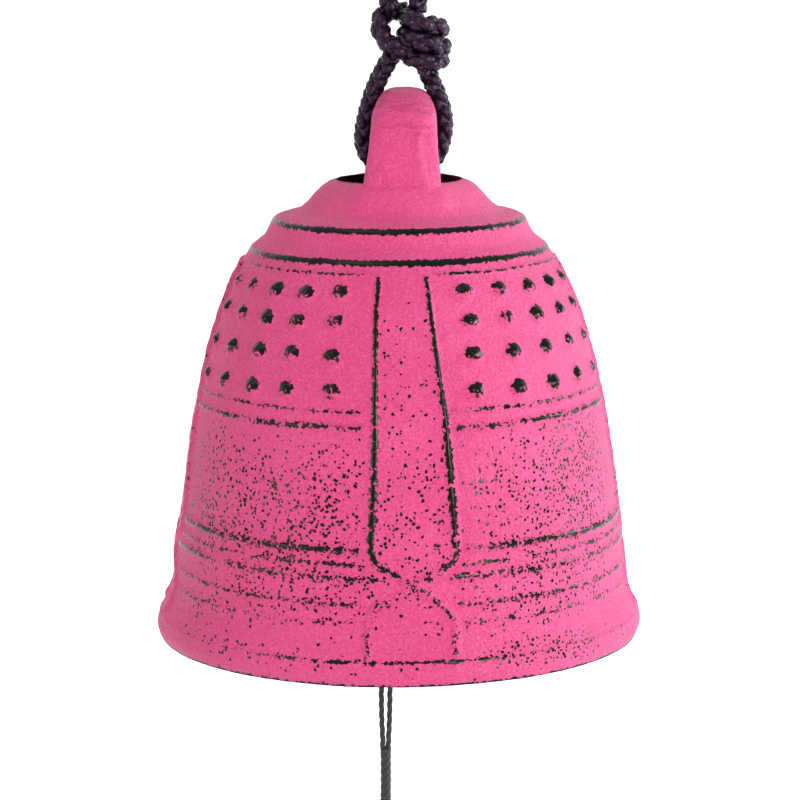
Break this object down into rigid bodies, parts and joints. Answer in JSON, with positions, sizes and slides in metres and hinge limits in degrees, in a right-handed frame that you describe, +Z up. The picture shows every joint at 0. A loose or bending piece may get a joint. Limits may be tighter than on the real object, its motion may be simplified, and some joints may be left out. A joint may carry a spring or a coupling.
{
  "type": "wind bell",
  "caption": "Cast-iron wind bell shaped like a temple bell, hung on a knotted braided cord, with a clapper on a thread and a paper strip that catches the wind.",
  "frame": {"origin": "inside of the hanging loop's bend, where it sits on a hook", "axes": "+Z up along the line the bell hangs on, +X along the cord under the arch, -Y towards the front"},
  "size_m": [0.068, 0.068, 0.261],
  "materials": {
    "painted_casting": "matte pink paint, rubbed to black iron on the raised lines",
    "braided_cord": "dark purple braid",
    "thread": "dark grey twisted thread",
    "clapper_iron": "dark matte",
    "paper": "matte paper"
  },
  "bodies": {
    "hanger": {"hanging_loop": "braided_cord", "hanging_knot": "braided_cord"},
    "sling": {"cord_sling": "braided_cord"},
    "bell": {"bell": "painted_casting", "thread_hitch": "thread"},
    "thread_top": {"hitch_knot": "thread"},
    "clapper": {"clapper_thread_left": "thread", "clapper_thread_right": "thread", "clapper": "clapper_iron", "stop_knot": "thread"},
    "sail": {"sail_thread_left": "thread", "sail_thread_right": "thread", "twisted_thread": "thread"},
    "strip_top": {"strip_knot": "thread"},
    "strip": {"strip_loop": "thread", "paper_strip": "paper"}
  },
  "joints": [
    {"name": "bell_sway", "type": "hinge", "parent": "hanger", "child": "sling", "pos_m": [0, 0, -0.0416], "axis": [0, 1, 0], "range_deg": [-15, 15]},
    {"name": "bell_rock", "type": "hinge", "parent": "sling", "child": "bell", "pos_m": [0, 0, -0.0583], "axis": [1, 0, 0], "range_deg": [-10, 10]},
    {"name": "clapper_turn", "type": "hinge", "parent": "bell", "child": "thread_top", "pos_m": [-0.0019, 0, -0.06164], "axis": [0, 0, 1], "continuous": true},
    {"name": "clapper_swing", "type": "hinge", "parent": "thread_top", "child": "clapper", "pos_m": [-0.0019, 0, -0.06164], "axis": [1, 0, 0], "range_deg": [-15, 15]},
    {"name": "sail_swing", "type": "hinge", "parent": "clapper", "child": "sail", "pos_m": [-0.0019, 0, -0.10935], "axis": [1, 0, 0], "range_deg": [-25, 25]},
    {"name": "strip_turn", "type": "hinge", "parent": "sail", "child": "strip_top", "pos_m": [-0.0019, 0, -0.15], "axis": [0, 0, 1], "continuous": true},
    {"name": "strip_swing", "type": "hinge", "parent": "strip_top", "child": "strip", "pos_m": [-0.0019, 0, -0.15], "axis": [1, 0, 0], "range_deg": [-60, 60]}
  ]
}
